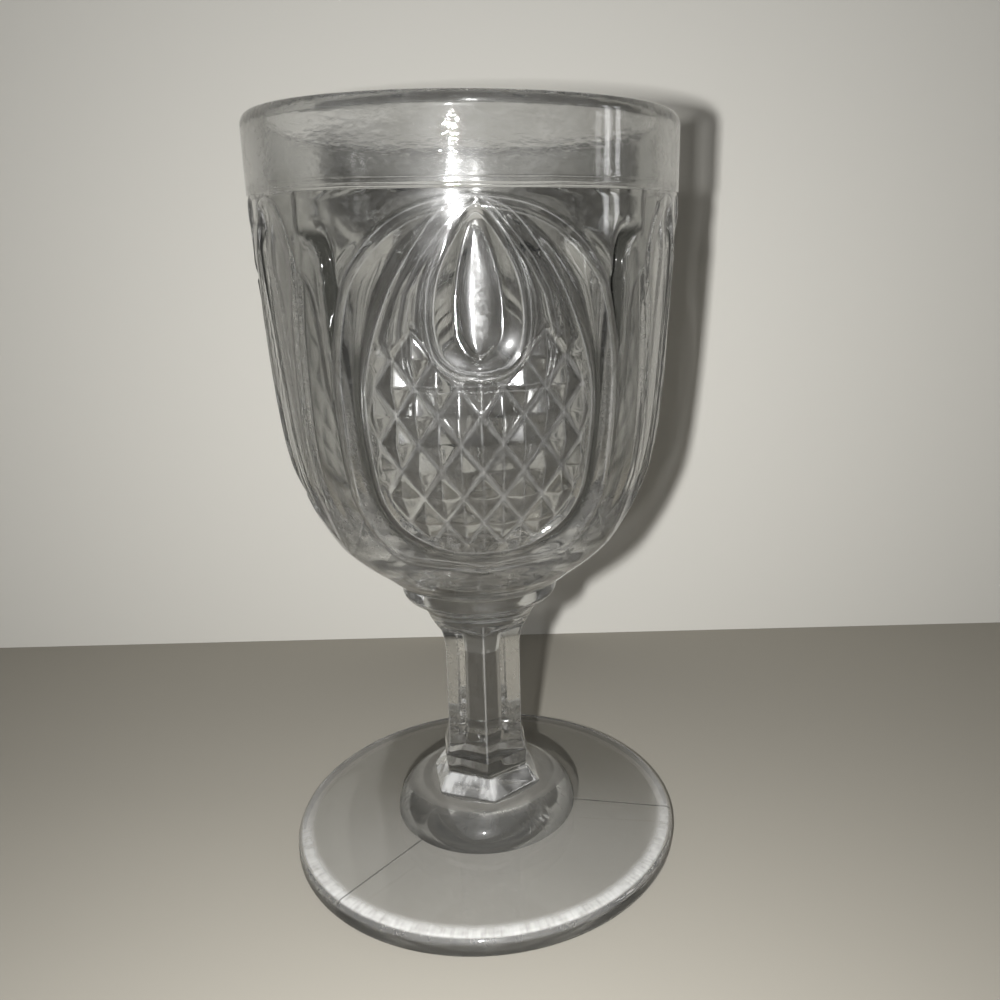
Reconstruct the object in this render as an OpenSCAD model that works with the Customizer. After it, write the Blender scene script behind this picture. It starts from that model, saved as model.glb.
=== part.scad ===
// Pressed glass water goblet: a patterned bowl on a six-sided stem and a round foot.
// Every piece stands on the one below it, from the foot up, and meets it on a flat face.

/* [Rim band] */
// outside radius of the rim band
rim_r = 41; // [37:0.5:46]
// height of the plain band above the mould seam
band_h = 14.2; // [10:0.2:20]
// thickness of the glass at the band
wall_t = 3.8; // [3.2:0.1:4.8]
// height over which the lip rounds off
lip_h = 2.4; // [1.2:0.1:3.6]
// how far the bowl steps in under the band at the mould seam
seam_step = 0.35; // [0.1:0.05:0.8]

/* [Bowl] */
// height of the patterned bowl, from its collar to the mould seam
bowl_h = 78.4; // [70:0.4:90]
// solid glass under the inside of the bowl
bowl_floor_t = 6.2; // [4.4:0.2:9]
// width of the arched rib round each panel
arch_rib_w = 2.4; // [1.6:0.1:3.2]
// how much the crown of the arched rib stands over its edges
arch_crown_d = 0.5; // [0.2:0.05:0.8]
// depth of the hollow flute inside the arch
flute_d = 0.8; // [0.4:0.05:1.1]
// width of the thin rib round the oval field
oval_rib_w = 1.3; // [0.8:0.1:2]
// depth of the diamond points
diamond_d = 1.2; // [0.6:0.05:1.5]
// width of the double rib round the teardrop
tear_rib_w = 1.5; // [1:0.1:2]
// depth of the hollow between the teardrop's rib and its swelling
tear_d = 0.7; // [0.3:0.05:1]
// depth of the leaves that crown the diamonds
crown_leaf_d = 0.7; // [0.3:0.05:1]
// depth of the hollow corners beside each arch
corner_d = 1.5; // [0.6:0.05:1.8]
// width of the groove between an arch and the tulip beside it
groove_w = 1.4; // [0.8:0.1:2]
// width of the rib round the middle petal of each tulip
petal_rib_w = 1.8; // [1.2:0.1:2.6]
// depth of the hollow inside the middle petal
petal_d = 0.8; // [0.4:0.05:1.1]
// how far the side petals lie under the middle petal's rib
side_petal_d = 0.7; // [0.3:0.05:1]

/* [Bowl collar] */
// outside radius of the bead under the bowl
collar_r = 16.8; // [15:0.2:19]
// height of the collar, cove and bead together
collar_h = 7.9; // [6:0.1:10]
// height of the rounded bead at its top
bead_h = 3.6; // [2.4:0.1:4.4]
// radius where the cove runs out onto the stem
cove_r = 11.6; // [10.6:0.1:12.6]

/* [Stem] */
// height of the six-sided stem
stem_h = 33.5; // [26:0.5:44]
// corner radius of the stem at its waist
stem_r = 9.4; // [8.6:0.1:10.4]
// length of the flare at the foot of the stem
stem_flare_h = 4.5; // [3:0.1:7]
// length of the spread at the top of the stem
stem_spread_h = 8; // [5:0.1:10]

/* [Foot collar] */
// radius of the rounded ring that lies on the foot
foot_ring_r = 20.5; // [18.5:0.1:23]
// height of the rounded ring
foot_ring_h = 7.2; // [5:0.1:9]
// height of the six-sided flare over the ring
flare_h = 8.4; // [6:0.1:11]
// corner radius of the flare at its base
flare_base_r = 13.2; // [12.2:0.1:14.6]
// corner radius of the flare at its top
flare_top_r = 10.6; // [10.5:0.1:11.8]
// turn of the flare against the stem, in degrees, from joining the hot foot by hand
flare_turn = 6; // [0:1:12]

/* [Foot] */
// outside radius of the foot
foot_r = 43.6; // [38:0.2:48]
// height of the foot where the rounded ring sits on it
foot_h = 6.4; // [5.2:0.1:8]
// height of the foot at its rounded edge
foot_edge_h = 4.7; // [3.6:0.1:5.1]
// radius of the rounding along the upper edge of the foot
foot_round_r = 1.7; // [0.8:0.1:2]
// radius of the rounding along the lower edge of the foot
foot_under_r = 1.5; // [0.6:0.1:1.6]
// width of the flat ring that the goblet rests on
rest_ring_w = 4.2; // [2.5:0.1:7]
// depth of the hollow under the foot
foot_hollow_h = 1.1; // [0.5:0.1:1.5]

/* [Hidden] */
$fn = 96;

// heights of the seats, each piece on top of the one below
foot_collar_z = foot_h;
stem_z = foot_collar_z + foot_ring_h + flare_h;
bowl_collar_z = stem_z + stem_h;
bowl_z = bowl_collar_z + collar_h;
band_z = bowl_z + bowl_h;
inner_r = rim_r - wall_t;
bowl_top_r = rim_r - seam_step;
arc_steps = 8;

// panels round the bowl, with a tulip between each two: half a panel's pitch in degrees, and the
// grid that the mould's relief is cut on
panels = 3;
half_pitch = 180 / panels;
diamonds_a_panel = 11;
grid_n = panels * diamonds_a_panel * 4;
cell_a = half_pitch / diamonds_a_panel;
row_share = 1 / 16;
row_h = bowl_h * row_share;
field_mid_share = 0.477;
rows_under = 4;
rows_over = 3;
low_rows = 7;
high_rows = 12;

// outline of the bowl: height as a share of bowl_h, and share of the way from the bead to the band
outline_shares = [
  [0, 0], [0.008, 0.058], [0.033, 0.156], [0.059, 0.258], [0.084, 0.36], [0.11, 0.452], [0.135, 0.528],
  [0.161, 0.583], [0.186, 0.632], [0.212, 0.68], [0.237, 0.721], [0.263, 0.758], [0.301, 0.808],
  [0.339, 0.851], [0.378, 0.878], [0.416, 0.899], [0.467, 0.919], [0.531, 0.938], [0.62, 0.959],
  [0.722, 0.977], [0.824, 0.992], [0.875, 1], [1, 1]];
// outline of the inside: height over its floor as a share of its depth, and share of inner_r
inside_shares = [
  [0, 0], [0.0055, 0.188], [0.019, 0.32], [0.04, 0.44], [0.068, 0.548], [0.102, 0.648], [0.144, 0.734],
  [0.199, 0.815], [0.255, 0.868], [0.31, 0.906], [0.38, 0.933], [0.476, 0.952], [0.587, 0.965],
  [0.726, 0.978], [0.864, 0.989], [1, 1]];
// half widths of the shapes on a panel: height as a share of bowl_h, width as a share of the half pitch
arch_shares = [
  [0.143, 0], [0.15, 0.15], [0.163, 0.27], [0.186, 0.4], [0.218, 0.51], [0.256, 0.574], [0.301, 0.611],
  [0.352, 0.638], [0.416, 0.654], [0.518, 0.657], [0.594, 0.65], [0.696, 0.623], [0.811, 0.558],
  [0.875, 0.472], [0.926, 0.37], [0.96, 0.263], [0.979, 0.15], [0.988, 0]];
oval_shares = [
  [0.21, 0], [0.222, 0.188], [0.249, 0.322], [0.275, 0.4], [0.32, 0.454], [0.38, 0.473], [0.5, 0.491],
  [0.589, 0.487], [0.65, 0.46], [0.713, 0.41], [0.806, 0.308], [0.88, 0.232], [0.946, 0.158],
  [0.97, 0.098], [0.984, 0]];
tear_shares = [
  [0.618, 0], [0.626, 0.09], [0.642, 0.145], [0.67, 0.185], [0.716, 0.205], [0.76, 0.207], [0.81, 0.195],
  [0.86, 0.165], [0.91, 0.115], [0.955, 0.055], [0.972, 0]];
leaf_shares = [[0.64, 0.3], [0.722, 0.307], [0.798, 0.272], [0.862, 0.205], [0.913, 0.13], [0.963, 0.045], [0.98, 0]];
// the same for the tulip, whose half widths are taken from the middle between two panels
tulip_shares = [
  [0.142, 0], [0.148, 0.05], [0.167, 0.133], [0.193, 0.2], [0.224, 0.283], [0.263, 0.342], [0.3, 0.4],
  [0.6, 0.4], [0.66, 0.355], [0.76, 0.352], [0.824, 0.355], [0.862, 0.352], [0.888, 0.333], [0.902, 0.3],
  [0.918, 0.24], [1, 0.238]];
petal_shares = [
  [0.16, 0], [0.18, 0.06], [0.22, 0.105], [0.288, 0.127], [0.378, 0.12], [0.467, 0.123], [0.531, 0.133],
  [0.594, 0.143], [0.658, 0.155], [0.722, 0.168], [0.786, 0.187], [0.824, 0.198], [0.862, 0.2],
  [0.888, 0.188], [0.926, 0.157], [0.952, 0.13], [0.977, 0.092], [0.992, 0]];
crown_foot_share = 0.685;
slope_step_share = 0.002;
// heights of the features over each other, as shares of the depths that they are cut to
oval_sink_share = 0.25;
strip_share = 0.5;
rest_sink_share = 0.2;
tulip_fade_share = 0.2;
corner_foot_share = 0.6;
corner_rise_share = 0.08;
groove_foot_share = 0.3;
bead_in_share = 0.4;
cove_share = 0.45;

function sq(x) = x * x;
function out_r(z) = collar_r + (bowl_top_r - collar_r) * lookup(z / bowl_h, outline_shares);
function arc_mm(a, z) = a * PI / 180 * out_r(z);
function wide_a(z, t) = half_pitch * lookup(z / bowl_h, t);
function lean(z, t) =
  arc_mm(wide_a(z + bowl_h * slope_step_share, t) - wide_a(z - bowl_h * slope_step_share, t), z)
  / (2 * bowl_h * slope_step_share);
function past(z, t) = max(t[0][0] * bowl_h - z, z - t[len(t) - 1][0] * bowl_h, 0);
// distance inside a shape's edge, less than nothing outside it
function inside(u, z, t) = past(z, t) > 0 ? -norm([arc_mm(u, z), past(z, t)])
  : arc_mm(wide_a(z, t) - u, z) / sqrt(1 + sq(lean(z, t)));

// a field of points: nothing at each point, one along the valleys between them
function valley(u, z) = let (x = u / cell_a, y = z / row_h - field_mid_share / row_share,
  p = (x + y) / 2, q = (x - y) / 2) 2 * max(abs(p - round(p)), abs(q - round(q)));

// depth of the oval field: teardrop, crown leaves and diamonds
function field_d(u, z) = let (t = inside(u, z, tear_shares), l = inside(u, z, leaf_shares))
  t > tear_rib_w ? tear_d * (1 - sin(90 * min(1, (t - tear_rib_w) / (2 * tear_rib_w)))) :
  t > 0 ? tear_d * rest_sink_share :
  z < bowl_h * crown_foot_share ? diamond_d * valley(u, z) :
  l > 0 ? crown_leaf_d : crown_leaf_d * strip_share;

// depth between two panels: the tulip's middle petal, its side petals, and the hollow corners
function gap_d(u, z, e) = let (v = half_pitch - u, h_share = z / bowl_h,
  q = inside(v, z, petal_shares), t = inside(v, z, tulip_shares),
  low = min(1, max(0, h_share - tulip_shares[0][0]) / tulip_fade_share),
  rise = min(1, max(0, h_share - corner_foot_share) / corner_rise_share),
  top = min(1, (bowl_h - z) / (4 * groove_w)))
  q > petal_rib_w ? low * top * (arch_crown_d + petal_d * sin(90 * min(1, (q / petal_rib_w - 1) / 2))) :
  q > 0 ? low * arch_crown_d * sq(2 * q / petal_rib_w - 1) :
  t > 0 ? low * top * side_petal_d :
  rise * top * corner_d * min(1, groove_foot_share + e / groove_w);

// depth of the mould's relief under the bowl's outline, u degrees from a panel's middle
function relief(u, z) = let (a = inside(u, z, arch_shares), b = inside(u, z, oval_shares),
  w = a - arch_rib_w, v = -b - oval_rib_w / 2)
  z <= 0 || z >= bowl_h ? 0 :
  a < 0 ? gap_d(u, z, -a) :
  w < 0 ? arch_crown_d * sq(2 * a / arch_rib_w - 1) :
  v > 0 ? arch_crown_d + flute_d * sin(180 * w / (w + v)) :
  b < oval_rib_w / 2 ? arch_crown_d * oval_sink_share :
  field_d(u, z);

mid_z = bowl_h * field_mid_share;
field_lo = mid_z - rows_under * row_h;
field_hi = mid_z + rows_over * row_h;
rows = concat(
  [for (j = [0 : low_rows - 1]) field_lo * j / low_rows],
  [for (j = [0 : 2 * (rows_under + rows_over) - 1]) field_lo + j * row_h / 2],
  [for (j = [0 : high_rows]) field_hi + (bowl_h - field_hi) * j / high_rows]);
function to_middle(i) = let (m = (i * 360 / grid_n) % (2 * half_pitch)) min(m, 2 * half_pitch - m);

module bowl_outside() {
  n = grid_n;
  points = [for (z = rows) for (i = [0 : n - 1]) let (r = out_r(z) - relief(to_middle(i), z))
    [r * sin(i * 360 / n), -r * cos(i * 360 / n), z]];
  skin = [for (j = [0 : len(rows) - 2]) for (i = [0 : n - 1])
    let (k = (i + 1) % n, a = j * n + i, b = j * n + k, c = b + n, d = a + n,
      fall = (i + (j - low_rows) + 1) % 4 == 2)
    each fall ? [[a, d, b], [d, c, b]] : [[a, d, c], [a, c, b]]];
  base = [for (i = [0 : n - 1]) i];
  top = [for (i = [n - 1 : -1 : 0]) (len(rows) - 1) * n + i];
  polyhedron(points, concat(skin, [base, top]), convexity = 10);
}

module bowl_inside() {
  depth = bowl_h - bowl_floor_t;
  translate([0, 0, bowl_floor_t]) rotate_extrude()
    polygon(concat([for (s = inside_shares) [inner_r * s[1], depth * s[0]]],
      [[inner_r, depth + wall_t], [0, depth + wall_t]]));
}

module bowl() {
  color("LightSteelBlue") translate([0, 0, bowl_z]) difference() {
    bowl_outside();
    bowl_inside();
  }
}

// The plain band, with its fire-polished lip.
module rim_band() {
  mid_r = rim_r - wall_t / 2;
  color("AliceBlue") translate([0, 0, band_z]) rotate_extrude()
    polygon(concat([[inner_r, 0], [rim_r, 0]],
      [for (k = [0 : 2 * arc_steps]) let (a = 180 * k / (2 * arc_steps))
        [mid_r + wall_t / 2 * cos(a), band_h - lip_h + lip_h * sin(a)]]));
}

// The bead that carries the bowl, and the cove that runs down onto the stem.
module bowl_collar() {
  cove_h = collar_h - bead_h;
  bead_in = collar_r - bead_h * bead_in_share;
  color("CornflowerBlue") translate([0, 0, bowl_collar_z]) rotate_extrude()
    polygon(concat([[0, 0]],
      [for (k = [0 : arc_steps]) let (t = k / arc_steps)
        [cove_r + (bead_in - cove_r) * t * (1 - cove_share + cove_share * t), cove_h * t]],
      [for (k = [1 : arc_steps]) let (a = 90 * k / arc_steps)
        [bead_in + (collar_r - bead_in) * sin(a), cove_h + bead_h * (1 - cos(a)) / 2]],
      [[collar_r, collar_h], [0, collar_h]]));
}

// A stack of six-sided rings: each entry is a height and a corner radius.
module six_sided(steps) {
  n = 6;
  points = [for (s = steps) for (i = [0 : n - 1]) [s[1] * sin(i * 360 / n), -s[1] * cos(i * 360 / n), s[0]]];
  skin = [for (j = [0 : len(steps) - 2]) for (i = [0 : n - 1])
    let (k = (i + 1) % n, a = j * n + i, b = j * n + k) [a, a + n, b + n, b]];
  polyhedron(points, concat(skin,
    [[for (i = [0 : n - 1]) i], [for (i = [n - 1 : -1 : 0]) (len(steps) - 1) * n + i]]));
}

module stem() {
  color("SkyBlue") translate([0, 0, stem_z])
    six_sided(concat(
      [for (k = [0 : arc_steps]) let (t = k / arc_steps)
        [stem_flare_h * t, stem_r + (flare_top_r - stem_r) * sq(1 - t)]],
      [for (k = [0 : arc_steps]) let (t = k / arc_steps)
        [stem_h - stem_spread_h * (1 - t), stem_r + (cove_r - stem_r) * sq(t)]]));
}

// The rounded ring on the foot, and the six-sided flare that meets the stem.
module foot_collar() {
  color("SteelBlue") translate([0, 0, foot_collar_z]) {
    rotate_extrude() polygon(concat([[0, 0]],
      [for (k = [0 : 2 * arc_steps]) let (a = 90 * k / (2 * arc_steps))
        [flare_base_r + (foot_ring_r - flare_base_r) * cos(a), foot_ring_h * sin(a)]],
      [[0, foot_ring_h]]));
    translate([0, 0, foot_ring_h]) rotate([0, 0, flare_turn])
      six_sided([for (k = [0 : arc_steps]) let (t = k / arc_steps)
        [flare_h * t, flare_top_r + (flare_base_r - flare_top_r) * sq(1 - t)]]);
  }
}

// The pressed foot: flat ring under its edge, shallow hollow inside it, rounded rim.
module foot() {
  rest_in_r = foot_r - foot_under_r - rest_ring_w;
  color("LightBlue") rotate_extrude() polygon(concat(
    [[0, foot_hollow_h], [rest_in_r - 2 * foot_hollow_h, foot_hollow_h], [rest_in_r, 0]],
    [for (k = [0 : arc_steps]) let (a = 90 * k / arc_steps)
      [foot_r - foot_under_r * (1 - sin(a)), foot_under_r * (1 - cos(a))]],
    [for (k = [0 : arc_steps]) let (a = 90 * k / arc_steps)
      [foot_r - foot_round_r * (1 - cos(a)), foot_edge_h - foot_round_r * (1 - sin(a))]],
    [[foot_ring_r, foot_h], [0, foot_h]]));
}

foot();
foot_collar();
stem();
bowl_collar();
bowl();
rim_band();
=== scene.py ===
import math

import bpy
import numpy as np
from mathutils import Matrix, Vector


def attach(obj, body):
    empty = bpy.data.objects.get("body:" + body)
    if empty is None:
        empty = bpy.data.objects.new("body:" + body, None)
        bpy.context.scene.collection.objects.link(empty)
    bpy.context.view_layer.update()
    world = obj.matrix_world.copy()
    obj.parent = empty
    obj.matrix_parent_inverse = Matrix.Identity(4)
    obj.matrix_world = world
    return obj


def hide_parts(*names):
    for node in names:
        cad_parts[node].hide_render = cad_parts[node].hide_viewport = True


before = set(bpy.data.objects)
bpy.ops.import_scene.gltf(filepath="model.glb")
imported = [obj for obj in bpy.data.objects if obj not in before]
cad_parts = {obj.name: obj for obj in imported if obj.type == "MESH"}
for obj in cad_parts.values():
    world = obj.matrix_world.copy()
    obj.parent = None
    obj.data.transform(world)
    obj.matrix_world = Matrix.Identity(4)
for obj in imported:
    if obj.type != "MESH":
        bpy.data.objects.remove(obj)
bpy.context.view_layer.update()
bpy.ops.object.select_all(action="DESELECT")
scene = bpy.context.scene


# The table: a plain pale floor, and a plain pale wall that stands just behind the goblet.
# Both are smooth matt paint. The wall is one-sided, so that the goblet can be seen from behind.
def matt_paint(name, colour, one_sided):
    paint = bpy.data.materials.new(name)
    paint.use_nodes = True
    nodes, links = paint.node_tree.nodes, paint.node_tree.links
    shader = nodes["Principled BSDF"]
    shader.inputs["Base Color"].default_value = (*colour, 1)
    shader.inputs["Roughness"].default_value = 0.9
    shader.inputs["Specular IOR Level"].default_value = 0.1
    if one_sided:
        side = nodes.new("ShaderNodeNewGeometry")
        gone = nodes.new("ShaderNodeBsdfTransparent")
        mix = nodes.new("ShaderNodeMixShader")
        links.new(side.outputs["Backfacing"], mix.inputs[0])
        links.new(shader.outputs[0], mix.inputs[1])
        links.new(gone.outputs[0], mix.inputs[2])
        links.new(mix.outputs[0], nodes["Material Output"].inputs["Surface"])
    return paint


floor_size, wall_size, wall_y, wall_turn = 6, 3, 0.1045, math.radians(-4.7)
bpy.ops.mesh.primitive_plane_add(size=floor_size, location=(0, 0, 0))
floor = bpy.context.object
floor.name = "floor"
floor.data.materials.append(matt_paint("floor_paint", (0.315, 0.296, 0.255), False))
upright = (math.pi / 2, 0, wall_turn)
bpy.ops.mesh.primitive_plane_add(size=wall_size, location=(0, wall_y, wall_size / 2), rotation=upright)
wall = bpy.context.object
wall.name = "wall"
wall.data.materials.append(matt_paint("wall_paint", (0.6, 0.585, 0.54), True))


# The view: eye height just under the lip, close to the glass, looking a little down on the foot.
# The lens sits a touch off the picture's middle, as the picture is framed.
mm = 0.001
eye = Vector((-6.253, -188.492, 135.718)) * mm
right = Vector((0.99278, -0.11947, -0.01028))
up = Vector((0.04383, 0.28172, 0.9585))
ahead = Vector((0.11162, 0.95203, -0.28492))
bpy.ops.object.camera_add()
camera = bpy.context.object
camera.matrix_world = Matrix(
    [[right[k], up[k], -ahead[k], eye[k]] for k in range(3)] + [[0, 0, 0, 1]]
)
camera.data.sensor_width = 36
camera.data.lens = 32.925
camera.data.shift_x = -0.0504
camera.data.clip_start = 0.01
scene.camera = camera


# The light: one small bright lamp beside the lens throws the glints and the shadow on the wall,
# a broad soft box overhead fills in, and two slim ones stand far off to the right.
def soft_box(name, place, target, width, height, glow):
    bpy.ops.object.light_add(type="AREA", location=place)
    lamp = bpy.context.object
    lamp.name = name
    lamp.data.shape = "RECTANGLE"
    lamp.data.size, lamp.data.size_y = width, height
    lamp.data.energy = glow * math.pi * width * height
    lamp.rotation_mode = "QUATERNION"
    lamp.rotation_quaternion = (Vector(target) - Vector(place)).to_track_quat("-Z", "Y")
    return lamp


beside_lens = eye - right * 0.0185
soft_box("lamp_by_lens", beside_lens, (0.008, 0, 0.048), 0.005, 0.007, 8200)
soft_box("broad_box", (-0.15, -0.05, 0.7), (0, 0, 0.05), 0.5, 0.5, 0.36)
for place in ((0.592, -0.208, 0.23), (0.612, -0.133, 0.23)):
    soft_box("slim_box", place, (0.03, -0.03, 0.148), 0.034, 0.2, 6.5)
world = bpy.data.worlds.new("studio")
scene.world = world
world.use_nodes = True
world.node_tree.nodes["Background"].inputs["Color"].default_value = (0.036, 0.036, 0.035, 1)
scene.view_settings.view_transform = "Standard"
scene.cycles.max_bounces = 32
scene.cycles.transmission_bounces = 32
scene.cycles.glossy_bounces = 16
scene.cycles.transparent_max_bounces = 64


# The foot: a pressed disc of clear glass with a rounded edge, hollow underneath, that rests
# on a flat ring. Every piece is fused to the next while hot, so where two meet nothing shows.
class Amount:
    """A value in a finish. Sums and products of it are Math nodes, and node() adds any other."""

    def __init__(self, tree, socket=None):
        self.tree, self.socket = tree, socket

    def node(self, kind, settings=None, out=0, **values):
        made = self.tree.nodes.new("ShaderNode" + kind)
        for key, value in (settings or {}).items():
            setattr(made, key, value)
        for key, value in values.items():
            port = made.inputs[int(key[1:]) if key[1:].isdigit() else key.replace("_", " ")]
            if isinstance(value, Amount):
                self.tree.links.new(value.socket, port)
            else:
                port.default_value = value
        return Amount(self.tree, made.outputs[out] if made.outputs else None)

    def maths(self, operation, *values):
        given = {"n%d" % k: value for k, value in enumerate(values)}
        return self.node("Math", {"operation": operation}, **given)

    def __add__(self, other):
        return self.maths("ADD", self, other)

    def __sub__(self, other):
        return self.maths("SUBTRACT", self, other)

    def __rsub__(self, other):
        return self.maths("SUBTRACT", other, self)

    def __mul__(self, other):
        return self.maths("MULTIPLY", self, other)

    __radd__ = __add__

    def within(self, low, high):
        return self.node(
            "MapRange", {"interpolation_type": "SMOOTHSTEP"}, Value=self, From_Min=low, From_Max=high
        )


def clear_glass(name, clear, shade, grain, lines=None, wear_and_painted_light=None, painted_shade=None, mottled=0.0):
    """Clear pressed glass, a little wavy from the mould, with fine dust that the lamp picks out,
    white marks that are painted light (and real smears on the band) where a piece gives them,
    and near-black painted shade where a piece gives that. Its shade dims the light that it lets through."""
    made = bpy.data.materials.new(name)
    made.use_nodes = True
    made.node_tree.nodes.clear()
    mix = Amount(made.node_tree)
    place = mix.node("TexCoord", out="Object")
    waves = mix.node("TexNoise", Vector=place, Scale=55.0, Detail=1.0)
    ripple = mix.node("TexNoise", Vector=place, Scale=420.0, Detail=1.0)
    height = waves * 0.00002 + ripple * 0.000003
    if lines:
        height = height + lines(mix, place)
    cloud = mix.node("TexNoise", Vector=place, Scale=160.0, Detail=4.0).within(0.35, 0.7)

    def glass(depth):
        return mix.node(
            "BsdfPrincipled",
            Base_Color=(clear, clear * 1.004, clear * 0.985, 1),
            Roughness=grain + cloud * 0.02,
            IOR=1.52,
            Transmission_Weight=1.0,
            Coat_Weight=0.06 + cloud * 0.14,
            Coat_Roughness=0.3,
            Coat_IOR=1.5,
            Normal=mix.node("Bump", Strength=1.0, Distance=1.0, Height=depth),
        )

    shader = glass(height)
    if mottled:
        drawn = mix.node("VectorMath", {"operation": "MULTIPLY"}, n0=place, n1=(1.0, 1.0, 2.5))
        rolled = height + mix.node("TexNoise", Vector=drawn, Scale=480.0, Detail=2.0) * 0.0001
        shader = mix.node("MixShader", n0=mottled, n1=shader, n2=glass(rolled))
    # a pale matt white mixed in: real dust, and painted light where a piece gives white marks
    dust_and_light_paint = mix.node("BsdfPrincipled", Base_Color=(0.8, 0.8, 0.79, 1), Roughness=0.7)
    speck = mix.node("TexNoise", Vector=place, Scale=1100.0, Detail=3.0).within(0.42, 0.75)
    dust_and_painted_light = speck * 0.016 + cloud * 0.004 + 0.004
    # each piece's white marks are painted light, mostly glints and highlights, with real smears on the
    # band
    if wear_and_painted_light:
        dust_and_painted_light = dust_and_painted_light + wear_and_painted_light(mix, place)
    shader = mix.node("MixShader", n0=dust_and_painted_light, n1=shader, n2=dust_and_light_paint)
    # a near-black matt mixed in: painted shade where the glass should look dark
    if painted_shade:
        dark = (0.015, 0.015, 0.013, 1)
        shading_paint = mix.node("BsdfPrincipled", Base_Color=dark, Roughness=0.8, Specular_IOR_Level=0.0)
        shader = mix.node("MixShader", n0=painted_shade(mix, place), n1=shader, n2=shading_paint)
    facing = mix.node("LayerWeight", out="Facing", Blend=0.4)
    plain = mix.node("BsdfTransparent", Color=(shade, shade, shade, 1))
    edge = mix.node("BsdfTransparent", Color=(0.15, 0.15, 0.15, 1))
    passing = mix.node("MixShader", n0=facing, n1=plain, n2=edge)
    to_lamp = mix.node("LightPath", out="Is Shadow Ray")
    to_wall = mix.node("LightPath", out="Is Diffuse Ray")
    both = mix.node("MixShader", n0=mix.maths("MAXIMUM", to_lamp, to_wall), n1=shader, n2=passing)
    mix.node("OutputMaterial", Surface=both)
    return made


fused = bpy.data.materials.new("fused_joint")
fused.use_nodes = True
fused.node_tree.nodes.clear()
joint = Amount(fused.node_tree)
joint.node("OutputMaterial", Surface=joint.node("BsdfTransparent", Color=(1, 1, 1, 1)))


def turned(name, outline, columns):
    """A piece turned on the axis from its outline in mm, drawn from the axis back to the axis."""
    bpy.ops.object.select_all(action="DESELECT")
    bpy.ops.mesh.primitive_plane_add(size=mm, location=(0, 0, 0))
    piece = bpy.context.object
    piece.name = name
    bpy.ops.object.mode_set(mode="EDIT")
    bpy.ops.mesh.merge(type="CENTER")
    bpy.ops.transform.translate(value=(outline[0][0] * mm, 0, outline[0][1] * mm))
    for a, b in zip(outline, outline[1:]):
        step = ((b[0] - a[0]) * mm, 0, (b[1] - a[1]) * mm)
        bpy.ops.mesh.extrude_vertices_move(TRANSFORM_OT_translate={"value": step})
    bpy.ops.mesh.select_all(action="SELECT")
    bpy.ops.mesh.spin(steps=columns, angle=2 * math.pi, center=(0, 0, 0), axis=(0, 0, 1))
    bpy.ops.mesh.select_all(action="SELECT")
    bpy.ops.mesh.remove_doubles(threshold=2e-6)
    bpy.ops.mesh.normals_make_consistent(inside=False)
    bpy.ops.object.mode_set(mode="OBJECT")
    return piece


def reshape(piece, radius):
    """Moves each point of a turned piece in or out: radius(turn in degrees from the front, r, z)."""
    points = np.empty(len(piece.data.vertices) * 3)
    piece.data.vertices.foreach_get("co", points)
    x, y, z = points.reshape(-1, 3).T / mm
    turn, r = np.degrees(np.arctan2(x, -y)), np.hypot(x, y)
    turn, r = radius(turn, r, z)
    turn = np.radians(turn)
    points = np.stack([r * np.sin(turn), -r * np.cos(turn), z], -1) * mm
    piece.data.vertices.foreach_set("co", points.ravel())
    piece.data.update()


def dress(piece, node, glass, joints):
    """Smooths a piece, gives it its glass, and clears the faces by which it is fused to others."""
    mesh = piece.data
    mesh.materials.append(glass)
    mesh.materials.append(fused)
    count = len(mesh.polygons)
    middle, facing = np.empty(count * 3), np.empty(count * 3)
    mesh.polygons.foreach_get("center", middle)
    mesh.polygons.foreach_get("normal", facing)
    middle, facing = middle.reshape(-1, 3) / mm, facing.reshape(-1, 3)
    reach = np.hypot(middle[:, 0], middle[:, 1])
    hidden = np.zeros(count, bool)
    for z, inner, outer in joints:
        level = (abs(middle[:, 2] - z) < 0.02) & (abs(facing[:, 2]) > 0.99)
        hidden |= level & (reach > inner) & (reach < outer)
    mesh.polygons.foreach_set("material_index", hidden.astype(np.int32))
    mesh.polygons.foreach_set("use_smooth", np.ones(count, bool))
    starts, totals = np.empty(count, np.int32), np.empty(count, np.int32)
    mesh.polygons.foreach_get("loop_start", starts)
    mesh.polygons.foreach_get("loop_total", totals)
    edge_of = np.empty(len(mesh.loops), np.int32)
    mesh.loops.foreach_get("edge_index", edge_of)
    of_loop = np.repeat(np.arange(count), totals)
    fused_sides = np.bincount(edge_of, hidden[of_loop].astype(float), len(mesh.edges))
    mesh.edges.foreach_set("use_edge_sharp", fused_sides == 1)
    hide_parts(node)
    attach(piece, "root")


def rounded(x0, z0, x1, z1, steps, outward):
    """A quarter round from one point to the next, bulging up or out first."""
    for k in range(1, steps + 1):
        a = math.pi / 2 * k / steps
        if outward:
            yield x0 + (x1 - x0) * math.sin(a), z0 + (z1 - z0) * (1 - math.cos(a))
        else:
            yield x0 + (x1 - x0) * (1 - math.cos(a)), z0 + (z1 - z0) * math.sin(a)


foot_r, foot_h, foot_edge_h, foot_ring_r = 43.6, 6.4, 4.7, 20.5
hollow_r, hollow_h, rest_r, side_low, side_high, top_r = 40.6, 1.1, 42.1, 1.5, 3.0, 41.9
slope_r, slope_h = foot_ring_r - top_r, foot_h - foot_edge_h
foot_outline = [(hollow_r * k / 12, hollow_h * (1 - (k / 12) ** 2)) for k in range(13)]
foot_outline += [(rest_r, 0)]
foot_outline += rounded(rest_r, 0, foot_r, side_low, 8, True)
foot_outline += [(foot_r, side_high)]
foot_outline += rounded(foot_r, side_high, top_r, foot_edge_h, 10, False)
foot_outline += [(top_r + slope_r * k / 10, foot_edge_h + slope_h * k / 10) for k in range(1, 11)]
foot_outline += [(0, foot_h)]


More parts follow.
